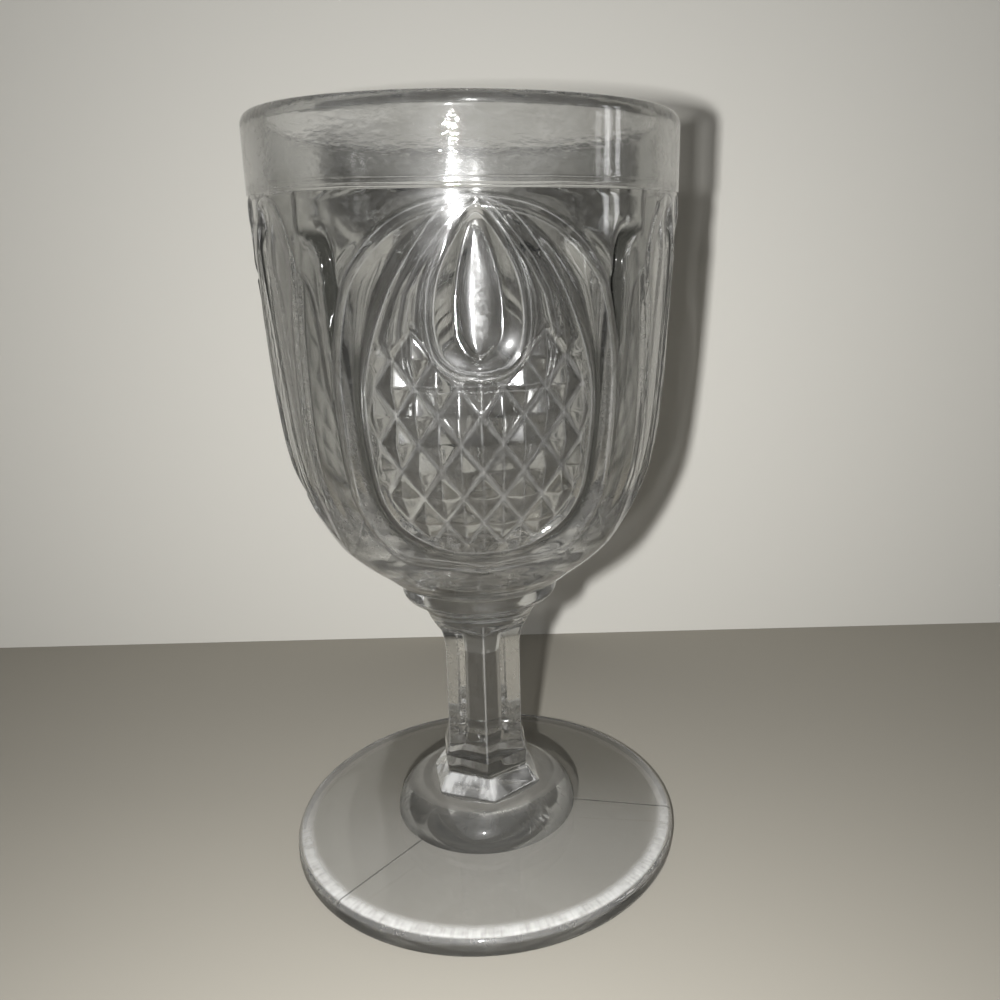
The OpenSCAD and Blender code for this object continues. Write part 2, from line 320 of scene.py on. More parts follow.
def measured_along(mix, place, turn):
    """Distance from the axis along a direction in the plan, turn degrees from the front."""
    a = math.radians(turn)
    direction = (math.sin(a), -math.cos(a), 0)
    return mix.node("VectorMath", {"operation": "DOT_PRODUCT"}, out="Value", n0=place, n1=direction)


def foot_seams(mix, place):
    """Two fine ridges across the foot's top, where the halves of its mould closed."""
    top = mix.node("SeparateXYZ", out="Z", Vector=place).within(0.0035, 0.004)
    ridge = 0.0
    for turn in (-48, 81):
        along = measured_along(mix, place, turn)
        across = measured_along(mix, place, turn + 90)
        line = 1 - mix.maths("ABSOLUTE", across).within(0.0001, 0.0003)
        ridge = ridge + line * along.within(0.018, 0.022) * top
    return ridge


def foot_ridge(mix, place):
    return foot_seams(mix, place) * 0.00006


def foot_reach(mix, place):
    flat = mix.node("VectorMath", {"operation": "MULTIPLY"}, n0=place, n1=(1.0, 1.0, 0.0))
    return flat, mix.node("VectorMath", {"operation": "LENGTH"}, out="Value", n0=flat)


def foot_painted_light(mix, place):
    """Painted light: white round the foot's rounded upper edge, most at the front toward the lamp, for the
    bright ring that the edge throws, and a faint paler front of the top.
    """
    flat, reach = foot_reach(mix, place)
    around = mix.node("VectorMath", {"operation": "NORMALIZE"}, n0=flat)
    high = mix.node("SeparateXYZ", out="Z", Vector=place).within(0.0033, 0.0037)
    front = 1 - mix.node("SeparateXYZ", out="Y", Vector=around).within(-0.7, 0.6)
    ring = reach.within(0.0392, 0.0416) * (1 - reach.within(0.0424, 0.0431)) * high
    streaks = mix.node("TexNoise", Vector=around, Scale=60.0, Detail=3.0).within(0.2, 0.7)
    patches = mix.node("TexNoise", Vector=place, Scale=420.0, Detail=5.0).within(0.32, 0.62)
    return ring * (streaks * 0.28 + patches * 0.32 + 0.4) * (front * 0.44 + 0.04) + high * front * 0.07


def foot_painted_shade(mix, place):
    """Painted shade: the thick rim of the foot is darker below its upper edge, where it stands in its own
    shadow, and so are the two ridges.
    """
    flat, reach = foot_reach(mix, place)
    low = 1 - mix.node("SeparateXYZ", out="Z", Vector=place).within(0.0028, 0.0038)
    return reach.within(0.0405, 0.042) * low * 0.42 + foot_seams(mix, place) * 0.6


foot = turned("foot_disc", foot_outline, 256)
foot_glass = clear_glass("foot_glass", 0.98, 0.93, 0.03, foot_ridge, foot_painted_light, foot_painted_shade)
dress(foot, "foot", foot_glass, [(foot_h, 0, foot_ring_r)])


# The foot collar: a rounded ring lying on the foot, with a short six-sided flare above it.
# The flare is turned a little against the stem, from being joined by hand.
flare_base_r, flare_top_r, foot_ring_h, flare_h, flare_turn = 13.2, 10.6, 7.2, 8.4, 6.0
ring_z, flare_z, stem_z = foot_h, foot_h + foot_ring_h, 22.0
corner_lost, corner_half = 0.012, 0.06


def six_sided(turn, corner_r):
    """Radius of a six-sided section with a corner at the front, its corners a little rounded."""
    off = np.radians((turn + 30) % 60 - 30)
    flat = corner_r * math.cos(math.pi / 6) / np.cos(math.pi / 6 - abs(off))
    return flat - corner_r * corner_lost * np.clip(1 - abs(off) / corner_half, 0, 1) ** 2


collar_outline = [(0, ring_z), (foot_ring_r, ring_z)]
collar_outline += [
    (flare_base_r + (foot_ring_r - flare_base_r) * math.cos(a), ring_z + foot_ring_h * math.sin(a))
    for a in [math.pi / 2 * k / 20 for k in range(1, 21)]
]
collar_outline += [(flare_base_r - 0.3, flare_z + 0.02)]
collar_outline += [(flare_base_r - 0.4, flare_z + flare_h * k / 14) for k in range(1, 15)]
collar_outline += [(0, stem_z)]


def flare(turn, r, z):
    rise = np.clip((z - flare_z) / flare_h, 0, 1)
    corner = flare_top_r - 0.5 * np.sin(np.pi * rise) ** 2
    corner = np.maximum(corner, flare_base_r - (flare_base_r - flare_top_r + 0.5) * rise / 0.55)
    twist = flare_turn * (1 - rise)
    above = (z > flare_z + 0.01) & (r > 1)
    return turn, np.where(above, six_sided(turn - twist, corner), r)


def flare_painted_light(mix, place):
    """Painted light: white streaks down the facets of the flare, more on the one side where the lit floor
    shows through, and a little on the ring below.
    """
    z = mix.node("SeparateXYZ", out="Z", Vector=place)
    x = mix.node("SeparateXYZ", out="X", Vector=place)
    slope = z.within(0.0138, 0.0142) * (1 - z.within(0.0176, 0.0182))
    drawn = mix.node("VectorMath", {"operation": "MULTIPLY"}, n0=place, n1=(1.0, 1.0, 0.25))
    streaks = mix.node("TexNoise", Vector=drawn, Scale=330.0, Detail=2.0).within(0.35, 0.6)
    ring = 1 - z.within(0.0136, 0.014)
    return slope * (streaks * 0.3 + 0.08) * (1 - x.within(0.0012, 0.0024) * 0.65) + ring * 0.04


def collar_painted_shade(mix, place):
    """Painted shade: a dark line round the foot of the ring, and dark above the flare."""
    flat, reach = foot_reach(mix, place)
    z = mix.node("SeparateXYZ", out="Z", Vector=place)
    return reach.within(0.0142, 0.0192) * 0.5 + z.within(0.0178, 0.019) * 0.3


foot_collar = turned("foot_collar_ring", collar_outline, 240)
reshape(foot_collar, flare)
# the collar's glass is tinted greyer than the foot's: partly grey glass, partly painted shade that dims
# its bright crescents
collar_glass = clear_glass("collar_glass", 0.86, 0.6, 0.03, None, flare_painted_light, collar_painted_shade)
dress(foot_collar, "foot_collar", collar_glass, [(ring_z, 0, foot_ring_r), (stem_z, 0, flare_top_r)])


# The stem: a slim six-sided column with a corner to the front, spreading at both ends. Its
# facets run out in low arches where it turns round under the bowl.
stem_h, stem_r, cove_r = 33.5, 9.4, 11.6
collar_z = stem_z + stem_h
stem_steps = [0, 0.5, 1, 1.5, 2, 2.5, 3, 3.5, 4, 4.5, 6, 8, 11, 14, 17, 20, 23, 24.5, 25.5]
stem_steps += [25.5 + 8 * k / 32 for k in range(1, 33)]
stem_outline = [(0, stem_z)] + [(stem_r, stem_z + h) for h in stem_steps] + [(0, collar_z)]


def stem_shape(turn, r, z):
    h = z - stem_z
    corner = stem_r + (flare_top_r - stem_r) * np.clip(1 - h / 4.5, 0, 1) ** 2
    spread = np.clip((h - (stem_h - 8)) / 8, 0, 1)
    corner = corner + (cove_r - stem_r) * spread**2
    faceted = six_sided(turn, corner)
    top = np.clip((h - (stem_h - 3.2)) / 3.2, 0, 1)
    lift = 1.9 * top**1.6
    round_r = stem_r * 1.02 + (cove_r - stem_r * 1.02) * spread**1.7
    shape = np.minimum(faceted + lift, np.maximum(round_r, faceted))
    shape = np.where(h > stem_h - 0.01, cove_r, shape)
    return turn, np.where(r > 1, shape, r)


def stem_corners(mix, place):
    """Thin lines down the corners: the front one is where the mould's halves closed."""
    lines = 0.0
    for turn in (0, 60, 120):
        across = measured_along(mix, place, turn + 90)
        lines = lines + (1 - mix.maths("ABSOLUTE", across).within(0.00005, 0.00028))
    return lines


def stem_seam(mix, place):
    return stem_corners(mix, place) * 0.00006


# painted glints: the corner lines are whitened where the lamp would catch the rounded corners
def stem_painted_glint(mix, place):
    return stem_corners(mix, place) * 0.1


stem = turned("stem_column", stem_outline, 240)
reshape(stem, stem_shape)
# the stem's glass is tinted darkest of all: partly grey glass, partly painted shade
stem_glass = clear_glass("stem_glass", 0.6, 0.5, 0.03, stem_seam, stem_painted_glint)
dress(stem, "stem", stem_glass, [(stem_z, 0, flare_top_r), (collar_z, 0, cove_r)])


# The bowl collar: a rounded bead that carries the bowl, over a cove that runs down onto the
# stem. A fine ridge parts the two.
collar_r, collar_h, bead_h = 16.8, 7.9, 3.6
bowl_z = collar_z + collar_h
cove_h, bead_in = collar_h - bead_h, collar_r - bead_h * 0.4
bowl_collar_outline = [(0, collar_z)]
bowl_collar_outline += [
    (cove_r + (bead_in - cove_r) * t * (0.55 + 0.45 * t), collar_z + cove_h * t)
    for t in [k / 16 for k in range(17)]
]
bowl_collar_outline += [
    (bead_in + (collar_r - bead_in) * math.sin(a), collar_z + cove_h + bead_h * (1 - math.cos(a)) / 2)
    for a in [math.pi / 2 * k / 12 for k in range(1, 13)]
]
bowl_collar_outline += [(collar_r, bowl_z), (0, bowl_z)]
bowl_collar = turned("bowl_collar_bead", bowl_collar_outline, 320)
# the bead's glass is tinted dark: partly grey glass, partly painted shade
bead_glass = clear_glass("bead_glass", 0.66, 0.45, 0.04)
dress(bowl_collar, "bowl_collar", bead_glass, [(collar_z, 0, cove_r), (bowl_z, 0, collar_r)])


# The bowl: clear glass pressed in a mould that gives the outside its pattern, three arched
# panels with a teardrop over a field of diamonds, while a plunger leaves the inside smooth.
bowl_h, bowl_top_r, inner_r, floor_t = 78.4, 40.65, 37.2, 6.2
band_z = bowl_z + bowl_h
columns = 660
outline_shares = [
    (0, 0), (0.008, 0.058), (0.033, 0.156), (0.059, 0.258), (0.084, 0.36), (0.11, 0.452), (0.135, 0.528),
    (0.161, 0.583), (0.186, 0.632), (0.212, 0.68), (0.237, 0.721), (0.263, 0.758), (0.301, 0.808),
    (0.339, 0.851), (0.378, 0.878), (0.416, 0.899), (0.467, 0.919), (0.531, 0.938), (0.62, 0.959),
    (0.722, 0.977), (0.824, 0.992), (0.875, 1), (1, 1),
]
inside_shares = [
    (0, 0), (0.0055, 0.188), (0.019, 0.32), (0.04, 0.44), (0.068, 0.548), (0.102, 0.648), (0.144, 0.734),
    (0.199, 0.815), (0.255, 0.868), (0.31, 0.906), (0.38, 0.933), (0.476, 0.952), (0.587, 0.965),
    (0.726, 0.978), (0.864, 0.989), (1, 1),
]
arch_shares = [
    (0.142, 0), (0.1432, 0.012), (0.152, 0.12), (0.159, 0.24), (0.165, 0.38), (0.173, 0.46),
    (0.195, 0.53), (0.235, 0.593), (0.28, 0.628), (0.34, 0.647), (0.416, 0.655), (0.518, 0.657),
    (0.594, 0.65), (0.696, 0.623), (0.811, 0.558), (0.875, 0.472), (0.926, 0.37), (0.96, 0.263),
    (0.979, 0.15), (0.988, 0),
]
oval_shares = [
    (0.205, 0), (0.215, 0.188), (0.245, 0.322), (0.275, 0.4), (0.32, 0.45), (0.38, 0.475), (0.5, 0.491),
    (0.589, 0.485), (0.65, 0.46), (0.713, 0.42), (0.806, 0.34), (0.88, 0.25), (0.946, 0.155),
    (0.97, 0.09), (0.984, 0),
]
tear_shares = [
    (0.618, 0), (0.626, 0.09), (0.642, 0.145), (0.67, 0.185), (0.716, 0.205), (0.76, 0.207), (0.81, 0.195),
    (0.86, 0.165), (0.91, 0.115), (0.955, 0.055), (0.972, 0),
]
swell_shares = [
    (0.665, 0), (0.68, 0.052), (0.71, 0.085), (0.77, 0.093), (0.83, 0.082), (0.88, 0.062), (0.93, 0.037),
    (0.965, 0.014), (0.974, 0),
]
leaf_shares = [
    (0.6, 0), (0.6, 0.28), (0.64, 0.295), (0.722, 0.307), (0.798, 0.272), (0.862, 0.205), (0.913, 0.13),
    (0.963, 0.045), (0.98, 0),
]
tulip_shares = [
    (0.142, 0), (0.148, 0.05), (0.167, 0.133), (0.193, 0.2), (0.224, 0.283), (0.263, 0.342), (0.3, 0.4),
    (0.6, 0.4), (0.66, 0.355), (0.76, 0.352), (0.824, 0.355), (0.862, 0.352), (0.888, 0.333), (0.902, 0.3),
    (0.916, 0.245), (0.94, 0.238), (1.05, 0.238), (1.05, 0),
]
side_leaf_shares = [
    (0.2, 0), (0.2, 0.42), (0.53, 0.36), (0.6, 0.33), (0.658, 0.323), (0.735, 0.315), (0.79, 0.3),
    (0.82, 0.275), (0.838, 0.245), (0.845, 0.225), (0.845, 0),
]
petal_shares = [
    (0.16, 0), (0.18, 0.06), (0.22, 0.105), (0.288, 0.127), (0.378, 0.12), (0.467, 0.123), (0.531, 0.133),
    (0.594, 0.143), (0.658, 0.155), (0.722, 0.168), (0.786, 0.187), (0.824, 0.198), (0.862, 0.2),
    (0.888, 0.188), (0.926, 0.157), (0.952, 0.13), (0.977, 0.092), (0.992, 0),
]


def eased(points, steps=8, closed=False):
    """A smooth curve through the points."""
    p = np.array(points, float)
    before = np.vstack([p[-1:] if closed else 2 * p[:1] - p[1:2], p])
    after = np.vstack([p[1:], p[:1] if closed else 2 * p[-1:] - p[-2:-1]])
    after = np.vstack([after, p[1:2] if closed else after[-1:]])
    made = []
    for k in range(len(p) if closed else len(p) - 1):
        a, b, c = before[k], p[k], after[k]
        d = after[k + 1]
        square, cube = 2 * a - 5 * b + 4 * c - d, 3 * b - a - 3 * c + d
        for t in np.arange(steps) / steps:
            made.append(0.5 * (2 * b + (c - a) * t + square * t**2 + cube * t**3))
    if not closed:
        made.append(p[-1])
    return np.array(made)


def closed_shape(shares, smooth=True):
    """The outline of a shape, in degrees from its own middle and mm up the bowl."""
    side = [(w * half_panel, s * bowl_h) for s, w in shares]
    whole = side + [(-u, z) for u, z in side[-2:0:-1] if u > 0]
    return eased(whole, 6, True) if smooth else np.array(whole, float)


def depth_inside(ring, u, z, r):
    """How far each point lies inside a shape, in mm over the glass, less than nothing outside it."""
    found = np.empty(len(u), np.float32)
    ends = np.roll(ring, -1, 0)
    for s in range(0, len(u), 6000):
        k = slice(s, s + 6000)
        scale = np.radians(1) * r[k, None]
        ax, ay = (ring[None, :, 0] - u[k, None]) * scale, ring[None, :, 1] - z[k, None]
        bx, by = (ends[None, :, 0] - u[k, None]) * scale, ends[None, :, 1] - z[k, None]
        dx, dy = bx - ax, by - ay
        t = np.clip(-(ax * dx + ay * dy) / np.maximum(dx * dx + dy * dy, 1e-12), 0, 1)
        far = np.sqrt(((ax + t * dx) ** 2 + (ay + t * dy) ** 2).min(1))
        crossed = ((ay > 0) != (by > 0)) & (ax - ay * dx / np.where(dy == 0, 1, dy) > 0)
        found[k] = np.where(crossed.sum(1) % 2 == 1, far, -far)
    return found


def soft(x):
    """A step from 0 to 1 as x goes from 0 to 1, eased at both ends."""
    x = np.clip(x, 0, 1)
    return x * x * (3 - 2 * x)


bowl_curve = eased([(s, collar_r + (bowl_top_r - collar_r) * w) for s, w in outline_shares])
half_panel = 60
arch, oval, tear = closed_shape(arch_shares), closed_shape(oval_shares), closed_shape(tear_shares)
swell, leaf = closed_shape(swell_shares), closed_shape(leaf_shares, False)
tulip, side_leaf = closed_shape(tulip_shares, False), closed_shape(side_leaf_shares, False)
petal = closed_shape(petal_shares)
diamonds_a_panel = 11
cell_a, row_h, mid_z = half_panel / diamonds_a_panel, 4.9, 0.477 * bowl_h
arch_rib_w, petal_rib_w, tear_rib_w, thin_half = 2.4, 1.8, 1.5, 0.5
rib_side_d, ring_side_d, flank_d, flute_d = 0.5, 0.3, 0.4, 1.2
diamond_d, flat_valley = 1.05, 0.87
thin_top_d, thin_side_d = 0.12, 0.38
tulip_foot, groove_foot = 0.143, 0.6
groove_w, groove_d, groove_top = 3.4, 2.0, 0.935 * bowl_h
swell_low, swell_high = 0.66 * bowl_h, 0.978 * bowl_h
fan_top, fan_d, fan_ribs = 0.99 * bowl_h, 0.2, 12


def outer_r(z):
    return np.interp(z / bowl_h, bowl_curve[:, 0], bowl_curve[:, 1])


def field_top(u):
    """The diamonds end above in a zigzag, at their own upper sides."""
    x = u / cell_a / 2 - 0.5
    return mid_z + row_h * (4 - 2 * abs(x - np.round(x)))


def valley_share(u, z):
    """From 0 on the point of a diamond to 1 in the valley round it."""
    x, y = u / cell_a, (z - mid_z) / row_h
    p, k = (x + y) / 2, (x - y) / 2
    return 2 * np.maximum(abs(p - np.round(p)), abs(k - np.round(k)))


far_off = -9.0


def nearness(u, z):
    """How far inside each outline of the pattern a point lies, u degrees from a panel's middle."""
    r = outer_r(z)
    found = []
    for shape, near_panel in (
        (arch, True), (oval, True), (leaf, True), (tear, True), (swell, True),
        (tulip, False), (side_leaf, False), (petal, False),
    ):
        inside = np.full(len(u), far_off)
        here = u < 44 if near_panel else u > 20
        own_u = u if near_panel else half_panel - u
        inside[here] = depth_inside(shape, own_u[here], z[here], r[here])
        found.append(inside)
    return found


def thin_ridge(off):
    """The thin ridge that runs along an outline, at a point off mm from that outline."""
    return thin_top_d + thin_side_d * (abs(off) / thin_half) ** 2


def gap_relief(z, in_arch, in_tulip, in_side_leaf, in_petal):
    """Between two arches: hollow corners, and the tulip with its side petals and middle petal."""
    off_arch = np.maximum(-in_arch, 0)
    low = soft((z / bowl_h - tulip_foot) / 0.2)
    rise = soft((z / bowl_h - groove_foot) / 0.08)
    groove = np.sin(np.pi * np.clip(-in_tulip / groove_w, 0, 1)) * soft(off_arch / 1.2)
    groove = groove * soft((groove_top - z) / 2.6)
    flank = flank_d * (1 - soft(off_arch / 0.8))
    corner = flank + rise * (groove_d * groove - 0.3 * (1 - groove) * soft(off_arch / 1.5))
    hollow = soft(np.minimum(in_side_leaf, -in_petal - 0.2) / 1.6)
    side = low * (0.25 + 0.3 * (1 - soft(in_tulip / 0.7)) + 0.5 * hollow)
    side = np.maximum(side, flank)
    petal_rib = low * rib_side_d * (2 * in_petal / petal_rib_w - 1) ** 2
    across = np.clip((in_petal - petal_rib_w) / 2.8, 0, 1)
    petal_flute = low * (rib_side_d + 0.6 * np.sin(np.pi / 2 * across))
    gap = np.where(in_tulip > 0, side, corner)
    return np.where(in_petal > petal_rib_w, petal_flute, np.where(in_petal > 0, petal_rib, gap))


def crown_relief(over, in_oval, in_leaf, in_tear):
    """Over the diamonds: a rounded strip inside the oval, a thin ridge, then hollow spears."""
    past_oval, to_leaf = np.maximum(in_oval - thin_half, 0), np.maximum(-in_leaf - thin_half, 0)
    strip = np.sin(np.pi * past_oval / np.maximum(past_oval + to_leaf, 0.01))
    strip = rib_side_d - 0.4 * strip * soft(over / 2)
    spear = np.minimum(np.minimum(in_leaf - thin_half, -in_tear - 0.1), over)
    spear = 0.4 + 0.5 * np.sin(np.pi / 2 * np.clip(spear / 1.7, 0, 1))
    past_strip = np.where(in_leaf < thin_half, thin_ridge(in_leaf), spear)
    return np.where(in_leaf < -thin_half, strip, past_strip)


def drop_relief(u, z, in_tear, in_swell):
    """The teardrop: a rib, a hollow, and a swelling that leans back as it rises."""
    above = np.clip(z - swell_low, 0, 18)
    spine = 0.19 * above - 0.00365 * above**2 - 0.0037 * np.maximum(above - 10, 0) ** 2
    spine = spine * soft((swell_high - z) / 3.5)
    ring = ring_side_d * (2 * in_tear / tear_rib_w - 1) ** 2
    past_ring = in_tear - tear_rib_w
    moat = np.clip(past_ring / np.maximum(past_ring - in_swell, 0.01), 0, 1)
    moat = ring_side_d + (0.5 + spine) * moat
    swell_a = half_panel * np.interp(z / bowl_h, *np.array(swell_shares).T)
    swelling = spine + 0.8 * np.clip(abs(u) / np.maximum(swell_a, 0.1), 0, 1) ** 3
    return np.where(in_swell > 0, swelling, np.where(past_ring > 0, moat, ring))


def fan_relief(u, z):
    """Faint ribs that fan out from the top of the arch."""
    below = np.maximum(fan_top - z, 0.01)
    turn = np.arctan2(np.radians(u) * outer_r(z), below)
    return fan_d * np.cos(turn * fan_ribs) * soft((below - 2) / 2) * soft((9 - below) / 5)


def relief(u, z, near):
    """Depth of the pattern under the bowl's outline, in mm."""
    in_arch, in_oval, in_leaf, in_tear, in_swell, in_tulip, in_side_leaf, in_petal = near
    # the arched rib and the flute inside it
    rib = flank_d * (1 - soft(in_arch / 0.6)) + rib_side_d * soft((in_arch - 1.5) / 0.9)
    past_rib, to_oval = in_arch - arch_rib_w, -in_oval - thin_half
    wide = np.maximum(past_rib + to_oval, 0.01)
    bulge = 1 - abs(2 * np.clip(past_rib / wide, 0, 1) - 1) ** 1.5
    flute = rib_side_d + flute_d * bulge * np.minimum(1, wide / 4)
    # inside the oval: the diamonds, which are points with flat valleys between them, and the crown
    field = diamond_d * np.minimum(valley_share(u, z) / flat_valley, 1)
    over = z - field_top(u)
    field = np.where(over > 0, crown_relief(over, in_oval, in_leaf, in_tear), field)
    field = rib_side_d + (field - rib_side_d) * soft((in_oval - thin_half) / 0.6)
    field = ring_side_d + (field - ring_side_d) * soft(-in_tear / 0.7)
    in_drop = np.maximum(in_tear, in_swell) > 0
    field = np.where(in_drop, drop_relief(u, z, in_tear, in_swell), field)
    field = field + np.where((over > 0) & (in_tear < tear_rib_w), fan_relief(u, z), 0)
    made = np.where(to_oval > 0, flute, np.where(in_oval < thin_half, thin_ridge(in_oval), field))
    gap = gap_relief(z, in_arch, in_tulip, in_side_leaf, in_petal)
    made = np.where(in_arch < 0, gap, np.where(past_rib < 0, rib, made))
    return made * soft((bowl_h - z) / 0.9) * soft(z / 2.0)


def painted_groove_shade(u, z, near):
    """Where painted shade goes: in the deep grooves beside the arches, down their flutes, and in the
    hollows by the side leaves.
    """
    in_arch, in_oval, in_leaf, in_tear, in_swell, in_tulip, in_side_leaf, in_petal = near
    groove = soft(1.9 * np.sin(np.pi * np.clip(-in_tulip / groove_w, 0, 1))) * soft(-in_arch / 0.9)
    groove = groove * soft((z / bowl_h - 0.42) / 0.2) * soft((groove_top - z) / 2)
    past_rib, to_oval = in_arch - arch_rib_w, -in_oval - thin_half
    across = np.clip(past_rib / np.maximum(past_rib + to_oval, 0.01), 0, 1)
    flute = 0.8 * soft(1 - abs(across - 0.42) / 0.3) * soft((past_rib + to_oval) / 3)
    flute = flute * soft((0.72 * bowl_h - z) / 6)
    leaf = 0.25 * soft(np.minimum(in_side_leaf, -in_petal - 0.2) / 2) * soft((z / bowl_h - 0.45) / 0.3)
    in_flute = (past_rib > 0) & (to_oval > 0)
    return np.where(in_flute, flute, np.where(in_arch < 0, np.maximum(groove, leaf), 0))


def to_cuts(u, z, near):
    """Distances in mm to the nearest valley of the diamonds and to the nearest upright ridge."""
    in_oval, in_tear = near[1], near[3]
    x = u / cell_a
    ridge = abs(x - np.round(x)) * np.radians(cell_a) * outer_r(z)
    outside = (in_oval < 0.8) | (z > field_top(u)) | (in_tear > -0.6)
    valley = (1 - valley_share(u, z)) * row_h / 2
    return np.where(outside, -far_off, valley), np.where(outside, -far_off, ridge)


# the rows of the mesh lie close in the field, where each row of diamonds takes ten of them
low_edge, high_edge = mid_z - 4 * row_h, mid_z + 4 * row_h
cell_rows, low_rows, field_rows, high_rows = 10, 16, 80, 30
rows = [low_edge * k / low_rows for k in range(low_rows)]
rows += [low_edge + row_h * k / cell_rows for k in range(field_rows)]
rows += [high_edge + (bowl_h - high_edge) * k / high_rows for k in range(high_rows + 1)]
rows = np.array(rows)
spacing = np.gradient(rows)
# half a panel is worked out, each point as a mean over a small square of the pattern round it
half = columns // 6
turns = np.arange(half + 1) * 360 / columns
pattern = np.zeros((len(rows), half + 1))
for du in (-1, 0, 1):
    for dz in (-1, 0, 1):
        weight = (2 - abs(du)) * (2 - abs(dz)) / 16
        u, z = np.meshgrid(abs(turns + du * 120 / columns), rows)
        u = half_panel - abs(half_panel - u).ravel()
        z = np.clip(z + dz * spacing[:, None] / 3, 0, bowl_h).ravel()
        near = nearness(u, z)
        pattern += weight * relief(u, z, near).reshape(pattern.shape)
        if du == 0 and dz == 0:
            near += [painted_groove_shade(u, z, near), *to_cuts(u, z, near)]
            edges = np.array(near).reshape(len(near), *pattern.shape)
# the crown, where the outlines crowd together, is smoothed three times more
crown = soft((rows / bowl_h - 0.85) / 0.06)[:, None]
for repeat in range(3):
    mean = np.pad(pattern, 1, mode="reflect")
    mean = mean[:-2] + 2 * mean[1:-1] + mean[2:]
    mean = (mean[:, :-2] + 2 * mean[:, 1:-1] + mean[:, 2:]) / 16
    pattern += (mean - pattern) * crown
pattern[-1] = 0
# the half panel is mirrored and repeated round the bowl, then closed by the smooth inside
column_turn = np.arange(columns) * 360 / columns
to_middle = np.rint(np.abs((column_turn + 60) % 120 - 60) * columns / 360).astype(int)
outside_r = outer_r(rows)[:, None] - pattern[:, to_middle]
inside = eased(inside_shares, 3)
inside = inside[inside[:, 1] > 0.03]
in_z = floor_t + (bowl_h - floor_t) * inside[::2, 0]
in_r = np.minimum(inner_r * inside[::2, 1], inner_r)
in_z[-1], in_r[-1] = bowl_h, inner_r
around = np.radians(column_turn)
rings = [(z, r) for z, r in zip(rows, outside_r)]
rings += [(z, np.full(columns, r)) for z, r in zip(in_z[::-1], in_r[::-1])]
points = [(0, 0, bowl_z)]
for z, r in rings:
    points += list(zip(r * np.sin(around), -r * np.cos(around), np.full(columns, bowl_z + z)))
points.append((0, 0, bowl_z + floor_t))
faces = []
for i in range(columns):
    j = (i + 1) % columns
    faces.append((0, 1 + j, 1 + i))
    for k in range(len(rings) - 1):
        a, b = 1 + k * columns + i, 1 + k * columns + j
        c, d = b + columns, a + columns
        in_field = low_rows <= k < low_rows + field_rows
        # a valley of the diamonds that falls to the right follows the other diagonal
        if in_field and (i + (k - low_rows) + 1) % (2 * cell_rows) == cell_rows:
            faces += [(a, b, d), (b, c, d)]
        elif k == len(rows) - 1 or k < low_rows:
            faces.append((a, b, c, d))
        else:
            faces += [(a, b, c), (a, c, d)]
    last = 1 + (len(rings) - 1) * columns
    faces.append((last + i, last + j, len(points) - 1))
bowl_mesh = bpy.data.meshes.new("bowl_pressed")
bowl_mesh.from_pydata([(x * mm, y * mm, z * mm) for x, y, z in points], [], faces)
bowl = bpy.data.objects.new("bowl_pressed", bowl_mesh)
scene.collection.objects.link(bowl)
# each point keeps what the finishes draw their lines by, numbered in the order of nearness(),
# with the painted groove shade, the valleys and the ridges after it
marks = {"rib_edges": (0, 1, 2), "petal_edges": (3, 5, 7)}
marks |= {"field_edges": (8, 9, 10), "drop_edges": (4, 6, 4)}
for label, which in marks.items():
    unmarked = (0.0, -far_off, -far_off) if label == "field_edges" else (far_off,) * 3
    near = np.tile(unmarked, (len(points), 1))
    near[1 : 1 + len(rows) * columns] = edges[list(which)][:, :, to_middle].reshape(3, -1).T
    bowl_mesh.attributes.new(label, "FLOAT_VECTOR", "POINT").data.foreach_set("vector", near.ravel())


def moulded_lines(mix, cuts):
    """Fine lines along the pattern, each given by its distance inside a shape in mm."""
    lines = 0.0
    for label, axis, middle, reach, share in cuts:
        given = mix.node("Attribute", {"attribute_name": label + "_edges"}, out="Vector")
        off = mix.maths("ABSOLUTE", mix.node("SeparateXYZ", out=axis, Vector=given) - middle)
        lines = lines + (1 - off.within(0.0, reach)) * share
    return lines


def mould_edges(mix, place):
    """The crisp double lines left by the cut edges of the mould."""
    cuts = [("rib", "X", 1.2, 0.25, 0.8), ("rib", "X", 1.85, 0.25, 1), ("rib", "Y", 0.0, 0.28, 1.2)]
    cuts += [("rib", "Z", -0.5, 0.24, 1), ("rib", "Z", 0.5, 0.24, 1)]
    cuts += [("petal", "X", 0.15, 0.25, 1.3), ("petal", "X", 1.4, 0.25, 1.3)]
    cuts += [("petal", "Z", -0.1, 0.25, -1.5)]
    rolled = mix.node("TexNoise", Vector=place, Scale=480.0, Detail=2.0)
    drop = moulded_lines(mix, [("drop", "X", 4.0, 2.2, 1.0)])
    return moulded_lines(mix, cuts) * 0.00003 + rolled * drop * 0.00007


